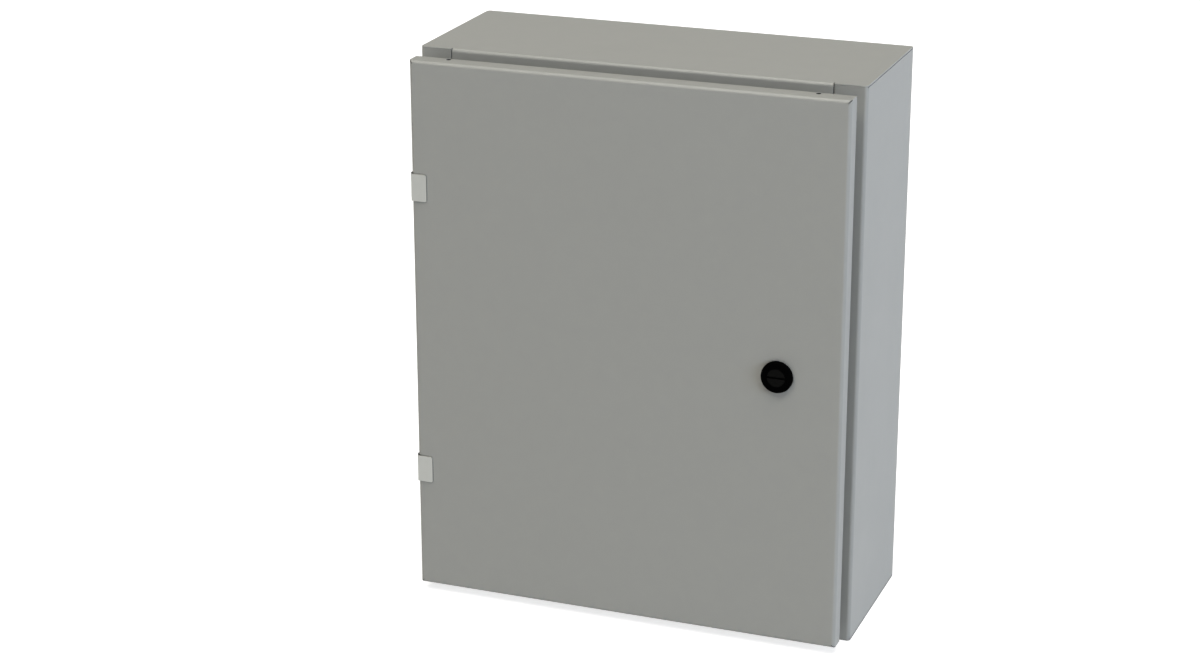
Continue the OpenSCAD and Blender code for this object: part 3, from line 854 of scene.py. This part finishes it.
@dataclass
class Gasket:
    """Foam bead round the inside of the door, with the line that the collar presses into it."""

    materials: Materials
    width: float = 15.0
    corner: float = 9.0
    inner_corner: float = 3.0
    # Power of the crown's superellipse
    crown_power: float = 0.62
    # Share of the width that the points of the flat foot span
    foot: float = 0.8
    press_depth: float = 0.9
    press_width: float = 1.6
    ripple: float = 0.12
    ripple_length: float = 37.0
    # Shares of the two sines of the ripple, and the second one's rate and start
    ripple_shares: tuple[float, float] = (0.6, 0.4)
    second_rate: float = 2.3
    second_start: float = 1.1
    corner_steps: int = 10
    straight_steps: int = 60
    crown_steps: int = 28
    foot_steps: int = 5

    def outline(self, half_width: Array, half_height: Array, radius: Array) -> tuple[Array, Array]:
        """Rounded rectangles, one for each row, with straight sides cut into even steps.

        Each corner is a quarter circle, and points between two corners lie evenly on the line between them.

        Args:
            half_width: Half of each rectangle's width, as a column.
            half_height: Half of each rectangle's height, as a column.
            radius: Corner radius of each rectangle, as a column.

        Returns:
            X and Z of the points, one row for each rectangle.
        """
        quarter = np.linspace(0, np.pi / 2, self.corner_steps)
        angle = np.concatenate([quarter + k * np.pi / 2 for k in range(4)])[None, :]
        sign_x = np.repeat((1, -1, -1, 1), self.corner_steps)[None, :]
        sign_z = np.repeat((1, 1, -1, -1), self.corner_steps)[None, :]
        x = sign_x * (half_width - radius) + radius * np.cos(angle)
        z = sign_z * (half_height - radius) + radius * np.sin(angle)
        x, z = (np.concatenate((v, v[:, :1]), axis=1) for v in (x, z))
        last = self.corner_steps - 1
        straight = np.linspace(0, 1, self.straight_steps, endpoint=False)
        one_side = np.concatenate((np.arange(last), last + straight))
        share = np.concatenate([k * self.corner_steps + one_side for k in range(4)])
        before = np.floor(share).astype(int)
        after = before + 1
        part = (share - before)[None, :]
        return tuple(v[:, before] * (1 - part) + v[:, after] * part for v in (x, z))

    def build(self) -> None:
        """Carry a crowned profile round the door.

        Across the bead the height is a superellipse, less a bell-shaped groove in the middle. The foot is
        flat on the door. Along the bead the height wanders by a sum of two sines.
        """
        low, high = corners("door_gasket")
        middle = (low + high) / 2
        half = (high - low) / 2 / MM
        crown = np.linspace(np.pi, 0, self.crown_steps)
        foot = np.linspace(self.foot, -self.foot, self.foot_steps)
        across = np.concatenate((np.cos(crown), foot))[:, None]
        dome = np.concatenate((np.sin(crown) ** self.crown_power, np.zeros_like(foot)))[:, None]
        offset = across * self.width / 2
        reach = offset - self.width / 2
        radius = np.clip(self.corner + reach, self.inner_corner, self.corner)
        x, z = self.outline(half[0] + reach, half[2] + reach, radius)
        walk = np.hypot(np.diff(x, append=x[:, :1]), np.diff(z, append=z[:, :1])).cumsum(axis=1)
        phase = 2 * np.pi * walk / self.ripple_length
        first, second = self.ripple_shares
        second_phase = self.second_rate * phase + self.second_start
        wander = np.sin(phase) * first + np.sin(second_phase) * second - 1
        groove = self.press_depth * np.exp(-((offset / self.press_width) ** 2))
        height = dome * (2 * half[1] + self.ripple * wander - groove)
        points = np.stack((x * MM + middle[0], low[1] + height * MM, z * MM + middle[2]), axis=-1)
        bead = make_piece("foam_gasket", [Shell(points, True)])
        mount(bead, self.materials, Slot.GASKET_FOAM, "door", "door_gasket")


@dataclass
class Hinges:
    """Two corner hinges: leaves, pins, and the nuts on the leaves' studs."""

    materials: Materials
    nut_flats: float = 7.0
    nut_height: float = 3.2
    nut_bore: float = 4.2
    stud_d: float = 4.06
    stud_pitch: float = 0.7
    stud_spare: float = 1.65

    def spots(self, nuts: str) -> list[Spot]:
        """Axes of the studs, from the box of their nuts and the middles of the leaves.

        Args:
            nuts: Node of the nuts.

        Returns:
            One spot for each stud, at the face that the nuts sit on.
        """
        low, high = corners(nuts)
        middles = [np.mean(corners(f"{hinge}_hinge_door_leaf"), axis=0)[2] for hinge in ("lower", "upper")]
        spread = middles[0] - low[2] - self.nut_flats / 2 * MM
        x = (low[0] + high[0]) / 2
        return [
            Spot(np.array((x, low[1], middle + side * spread)), Way.BACK)
            for middle in middles
            for side in (-1, 1)
        ]

    def build(self) -> None:
        """Dress the leaves and pins, and make the nuts and the ends of the studs."""
        for hinge in ("upper", "lower"):
            dress(self.materials[Slot.HINGE_STEEL], f"{hinge}_hinge_door_leaf", f"{hinge}_hinge_body_leaf")
            dress(self.materials[Slot.BLACK_STEEL], f"{hinge}_hinge_pin")
        for node, body in (("hinge_door_nuts", "door"), ("hinge_body_nuts", "enclosure")):
            spots = self.spots(node)
            nuts = [hex_nut(spot, self.nut_flats, self.nut_height, self.nut_bore) for spot in spots]
            nuts_piece = make_piece(f"{node}_chamfered", nuts)
            mount(nuts_piece, self.materials, Slot.ZINC_PLATE, body, node)
            stud_length = self.nut_height + self.stud_spare
            ends = [thread(spot, self.stud_d, self.stud_pitch, stud_length) for spot in spots]
            ends_piece = make_piece(node.replace("nuts", "stud_ends"), ends)
            mount(ends_piece, self.materials, Slot.HINGE_STEEL, body)


@dataclass
class Latch:
    """Slotted quarter-turn latch: ring and barrel, insert, cam and its fasteners."""

    materials: Materials
    insert_finish: MattBlack = MattBlack("black_coated_zinc", "#0b0b0a", "#0e0e0d", 0.55, 0.03)
    nut_flats: float = 27.0
    nut_height: float = 5.0
    nut_bore: float = 22.2
    screw_flats: float = 8.0
    screw_head: float = 3.5
    screw_d: float = 4.0
    washer_d: float = 14.0
    washer_t: float = 1.2
    washer_bore: float = 4.6

    def spot(self, node: str, way: Way) -> Spot:
        """Axis of the latch, at one face of a node.

        Args:
            node: Node on the axis.
            way: Direction of the spot, away from that face.

        Returns:
            The spot.
        """
        low, high = corners(node)
        middle = np.mean(corners("latch_housing"), axis=0)
        y = low[1] if way is Way.BACK else high[1]
        return Spot(np.array((middle[0], y, middle[2])), way)

    def build(self) -> None:
        """Dress the moulded and pressed pieces, and make the nut, washer and screw."""
        dress(self.materials[Slot.LATCH_BLACK], "latch_housing")
        dress(self.insert_finish.build(), "latch_insert")
        dress(self.materials[Slot.GASKET_FOAM], "latch_seal")
        dress(self.materials[Slot.ZINC_PLATE], "latch_cam")
        nut_spot = self.spot("latch_nut", Way.FRONT)
        nut = hex_nut(nut_spot, self.nut_flats, self.nut_height, self.nut_bore)
        nut_piece = make_piece("latch_nut_chamfered", [nut])
        mount(nut_piece, self.materials, Slot.ZINC_PLATE, "door", "latch_nut")
        washer_spot = self.spot("latch_cam_washer", Way.BACK)
        cam_washer = washer(washer_spot, self.washer_d, self.washer_t, self.washer_bore)
        washer_piece = make_piece("cam_washer_punched", [cam_washer])
        mount(washer_piece, self.materials, Slot.ZINC_PLATE, "latch", "latch_cam_washer")
        low, high = corners("latch_cam_screw")
        screw_spot = self.spot("latch_cam_screw", Way.BACK)
        shank = (high[1] - low[1]) / MM - self.screw_head
        head = hex_head(screw_spot, self.screw_flats, self.screw_head, shank)
        rod = turned(screw_spot, ((self.screw_d / 2, 0.0), (self.screw_d / 2, shank)), False)
        screw_piece = make_piece("cam_screw_chamfered", [head, rod])
        mount(screw_piece, self.materials, Slot.ZINC_PLATE, "latch", "latch_cam_screw")


@dataclass
class PanelMount:
    """White mounting panel on four copper-flashed studs, with their washers and nuts."""

    materials: Materials
    stud_d: float = 8.0
    stud_pitch: float = 1.25
    seat_d: float = 14.0
    seat_edge: float = 0.8
    washer_d: float = 16.0
    washer_bore: float = 8.6
    nut_flats: float = 13.0
    nut_bore: float = 8.2

    def spots(self, node: str, reach: float) -> list[Spot]:
        """Axes of the four fasteners, from the box of one group of them.

        Args:
            node: Node of the group.
            reach: Radius of one fastener across X and Z.

        Returns:
            One spot for each corner, at the back face of the group.
        """
        low, high = corners(node)
        inset = reach * MM
        return [
            Spot(np.array((x, high[1], z)), Way.FRONT)
            for x in (low[0] + inset, high[0] - inset)
            for z in (low[2] + inset, high[2] - inset)
        ]

    def nut_spots(self, studs: Sequence[Spot]) -> list[Spot]:
        """Axes of the studs, moved to the face that the nuts sit on.

        Args:
            studs: Axes of the studs.

        Returns:
            One spot for each nut.
        """
        seat_y = corners("panel_nuts")[1][1]
        return [Spot(np.array((spot.start[0], seat_y, spot.start[2])), spot.way) for spot in studs]

    def build(self) -> None:
        """Paint the panel, and make the studs, washers and nuts."""
        dress(self.materials[Slot.PANEL_WHITE], "mounting_panel")
        spots = self.spots("panel_studs", self.seat_d / 2)
        low, high = corners("panel_studs")
        length = (high[1] - low[1]) / MM
        panel_back = corners("mounting_panel")[1][1]
        seat = (high[1] - panel_back) / MM
        edge, outer = self.seat_edge, self.seat_d / 2
        profile = ((outer, 0.0), (outer, seat - edge), (outer - edge, seat))
        studs = [turned(spot, profile, False) for spot in spots]
        studs += [thread(spot, self.stud_d, self.stud_pitch, length - seat, seat) for spot in spots]
        studs_piece = make_piece("panel_studs_threaded", studs)
        mount(studs_piece, self.materials, Slot.COPPER_STUD, "enclosure", "panel_studs")
        low, high = corners("panel_washers")
        washer_t = (high[1] - low[1]) / MM
        washers = [
            washer(spot, self.washer_d, washer_t, self.washer_bore)
            for spot in self.spots("panel_washers", self.washer_d / 2)
        ]
        washers_piece = make_piece("panel_washers_punched", washers)
        mount(washers_piece, self.materials, Slot.ZINC_PLATE, "enclosure", "panel_washers")
        low, high = corners("panel_nuts")
        nut_height = (high[1] - low[1]) / MM
        nuts = [hex_nut(spot, self.nut_flats, nut_height, self.nut_bore) for spot in self.nut_spots(spots)]
        nuts_piece = make_piece("panel_nuts_chamfered", nuts)
        mount(nuts_piece, self.materials, Slot.ZINC_PLATE, "enclosure", "panel_nuts")


@dataclass
class GroundStud:
    """Copper-flashed ground stud with its washer and nut."""

    materials: Materials
    prefix: str
    body: str
    way: Way
    stud_d: float = 6.0
    stud_pitch: float = 1.0
    washer_d: float = 12.0
    washer_t: float = 1.6
    washer_bore: float = 6.6
    nut_flats: float = 10.0
    nut_height: float = 5.0
    nut_bore: float = 6.2

    def build(self) -> None:
        """Make the stud, its washer and its nut on the stud's axis."""
        low, high = corners(f"{self.prefix}_ground_stud")
        axis = int(np.argmax(np.abs(self.way.value)))
        start = (low + high) / 2
        start[axis] = low[axis]
        length = (high[axis] - low[axis]) / MM
        spot = Spot(start, self.way)
        stud = thread(spot, self.stud_d, self.stud_pitch, length)
        under = washer(spot, self.washer_d, self.washer_t, self.washer_bore)
        nut = hex_nut(spot, self.nut_flats, self.nut_height, self.nut_bore, self.washer_t)
        parts = (
            ("stud", "threaded", Slot.COPPER_STUD, stud),
            ("washer", "punched", Slot.ZINC_PLATE, under),
            ("nut", "chamfered", Slot.ZINC_PLATE, nut),
        )
        for part, form, slot, shell in parts:
            node = f"{self.prefix}_ground_{part}"
            mount(make_piece(f"{node}_{form}", [shell]), self.materials, slot, self.body, node)


@dataclass
class Door:
    """Folded door with its gasket and ground stud."""

    materials: Materials
    hole_d: float = 4.4
    hole_x: float = 166.8
    hole_setback: float = 13.4

    def holes(self) -> ShadeSpot:
        """Walls of the two small holes in the top flange, up to the faces' paint, which get painted shade.

        Returns:
            The right hole, whose mirror image is the left one.
        """
        low, high = (corner / MM for corner in corners("door_panel"))
        reach = self.hole_d / 2 + PAINT_SKIN
        middle = (self.hole_x, low[1] + self.hole_setback, high[2] - SHEET / 2)
        return ShadeSpot(middle, (reach, reach, SHEET / 2 - PAINT_SKIN))

    def build(self) -> None:
        """Paint the door, and lay its gasket and ground stud."""
        coat = replace(GREY_COAT, name="powder_coated_steel_door", shade_spots=(self.holes(),))
        dress(coat.build(), "door_panel")
        Gasket(self.materials).build()
        GroundStud(self.materials, "door", "door", Way.BACK).build()


@dataclass(frozen=True)
class Softbox:
    """Square studio lamp that faces the middle of the enclosure."""

    name: str
    place: tuple[float, float, float]
    side: float
    watts: float
    colour: str

    def build(self, aim: Vector) -> None:
        """Set up the lamp.

        Args:
            aim: Point that the lamp faces, in metres.
        """
        lamp = bpy.data.lights.new(self.name, "AREA")
        lamp.size = self.side * MM
        lamp.energy = self.watts
        lamp.color = linear(self.colour)[:3]
        holder = bpy.data.objects.new(self.name, lamp)
        holder.location = Vector(self.place) * MM
        holder.rotation_euler = (aim - holder.location).to_track_quat("-Z", "Y").to_euler()
        bpy.context.scene.collection.objects.link(holder)
        LOG.info("%s: %g W", self.name, self.watts)


@dataclass(frozen=True)
class Studio:
    """Paper floor, white surround, soft lamps and the photograph's viewpoint."""

    paper: PaperSweep = PaperSweep("white_paper", "#c8c8c8", 0.75)
    floor_radius: float = 12000.0
    floor_drop: float = 0.3
    ambient: float = 0.01
    # Sines of the heights between which the sweep ends
    sweep_edge: tuple[float, float] = (0.1, 0.25)
    lamps: tuple[Softbox, ...] = (
        Softbox("key_upper_left", (-2900.0, -5000.0, 6900.0), 2000.0, 80.0, "#fff0dc"),
        Softbox("side_right", (6700.0, -2450.0, 1750.0), 3000.0, 280.0, "#d8e7ff"),
        Softbox("side_left", (-7000.0, 1500.0, 500.0), 2500.0, 120.0, WHITE),
        Softbox("back", (1200.0, 7600.0, 900.0), 2500.0, 200.0, "#e8f2ff"),
        Softbox("overhead", (600.0, -2400.0, 8600.0), 9000.0, 950.0, "#fffcf6"),
    )
    camera_place: tuple[float, float, float] = (758.07, -2178.60, 1059.35)
    camera_forward: tuple[float, float, float] = (-0.33261, 0.88223, -0.33323)
    focal_pixels: float = 2682.91

    def floor(self) -> None:
        """Disc just under the enclosure: points on one circle round its middle."""
        turn = ring(ROUND_STEPS)[0]
        radius = self.floor_radius * MM
        z = np.full_like(turn, -self.floor_drop * MM)
        points = np.stack((radius * np.cos(turn), radius * np.sin(turn), z), axis=-1)
        mesh = bpy.data.meshes.new("floor")
        mesh.from_pydata(points.tolist(), [], [list(range(ROUND_STEPS))])
        mesh.materials.append(self.paper.build())
        floor = bpy.data.objects.new("floor", mesh)
        bpy.context.scene.collection.objects.link(floor)
        floor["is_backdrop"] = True
        LOG.info("floor: %s", self.paper.name)

    def surround(self) -> None:
        """White for the camera and an even, dim light for the rest.

        Mirror rays see the white too, up to the top of the paper sweep, and the dim room above it.
        """
        world = bpy.data.worlds.new("surround")
        world.use_nodes = True
        bpy.context.scene.world = world
        tree = world.node_tree
        tree.nodes.clear()
        path = add_node(tree, "ShaderNodeLightPath")
        place = add_node(tree, "ShaderNodeTexCoord")
        height = add_node(tree, "ShaderNodeSeparateXYZ", {"Vector": place.outputs["Generated"]})
        sweep = add_node(
            tree,
            "ShaderNodeMapRange",
            {
                "Value": height.outputs["Z"],
                "From Min": self.sweep_edge[0],
                "From Max": self.sweep_edge[1],
                "To Min": 1.0,
                "To Max": 0.0,
            },
        )
        mirrored = add_node(
            tree,
            "ShaderNodeMath",
            {0: mirror_rays(tree, path), 1: sweep.outputs["Result"]},
            operation="MULTIPLY",
        )
        seen = add_node(
            tree,
            "ShaderNodeMath",
            {0: path.outputs["Is Camera Ray"], 1: mirrored.outputs[0]},
            operation="MAXIMUM",
        )
        soft = add_node(tree, "ShaderNodeBackground", {"Color": linear(WHITE), "Strength": self.ambient})
        white = add_node(tree, "ShaderNodeBackground", {"Color": linear(WHITE), "Strength": 1.0})
        both = add_node(
            tree, "ShaderNodeMixShader", {0: seen.outputs[0], 1: soft.outputs[0], 2: white.outputs[0]}
        )
        add_node(tree, "ShaderNodeOutputWorld", {"Surface": both.outputs[0]})

    def viewpoint(self) -> None:
        """Camera of the photograph: the focal length in pixels over the image's width gives the lens."""
        lens = bpy.data.cameras.new("viewpoint")
        lens.sensor_fit = "HORIZONTAL"
        lens.sensor_width = SENSOR_MM
        lens.lens = self.focal_pixels / PHOTO_WIDTH * SENSOR_MM
        camera = bpy.data.objects.new("viewpoint", lens)
        camera.location = Vector(self.camera_place) * MM
        camera.rotation_euler = Vector(self.camera_forward).to_track_quat("-Z", "Y").to_euler()
        bpy.context.scene.collection.objects.link(camera)
        bpy.context.scene.camera = camera

    def build(self) -> None:
        """Set up the floor, the light and the camera."""
        bpy.context.scene.view_settings.view_transform = "Standard"
        self.floor()
        self.surround()
        self.viewpoint()
        aim = sum(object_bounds(), Vector()) / 2
        for lamp in self.lamps:
            lamp.build(aim)


def main() -> None:
    """Build the studio and the sub-assemblies in order."""
    logging.basicConfig(level=logging.INFO, format="%(name)s: %(message)s")
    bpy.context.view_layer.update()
    materials = {slot: finish.build() for slot, finish in FINISHES.items()}
    Studio().build()
    Casing().build()
    Door(materials).build()
    Hinges(materials).build()
    Latch(materials).build()
    PanelMount(materials).build()
    GroundStud(materials, "body", "enclosure", Way.RIGHT).build()


if __name__ == "__main__":
    main()
